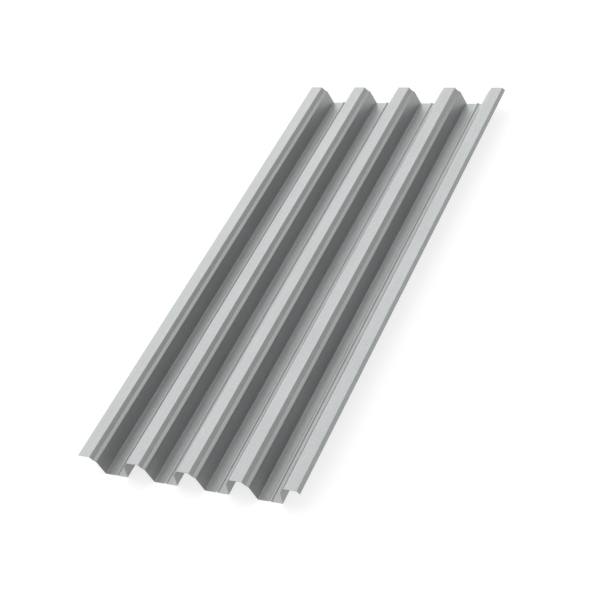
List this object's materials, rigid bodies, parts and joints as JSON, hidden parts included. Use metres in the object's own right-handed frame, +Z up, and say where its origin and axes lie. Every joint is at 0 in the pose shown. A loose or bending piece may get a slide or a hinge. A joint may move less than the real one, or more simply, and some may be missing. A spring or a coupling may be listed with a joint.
{
  "type": "corrugated metal sheet",
  "caption": "Profiled steel deck sheet with flat narrow crests, stepped webs and wide beaded troughs, bare along one side edge and lipped along the other; roofs, floors and walls.",
  "frame": {"origin": "middle of the sheet's length and width, on the floor plane under the troughs", "axes": "+X across the waves towards the lipped edge, +Y along the waves, +Z up through the crests"},
  "size_m": [0.8016, 1.865, 0.0758],
  "materials": {
    "zinc_coated_steel": "dull pale grey zinc coat, smooth as rolled"
  },
  "bodies": {
    "root": {"profiled_sheet": "zinc_coated_steel"}
  },
  "joints": []
}
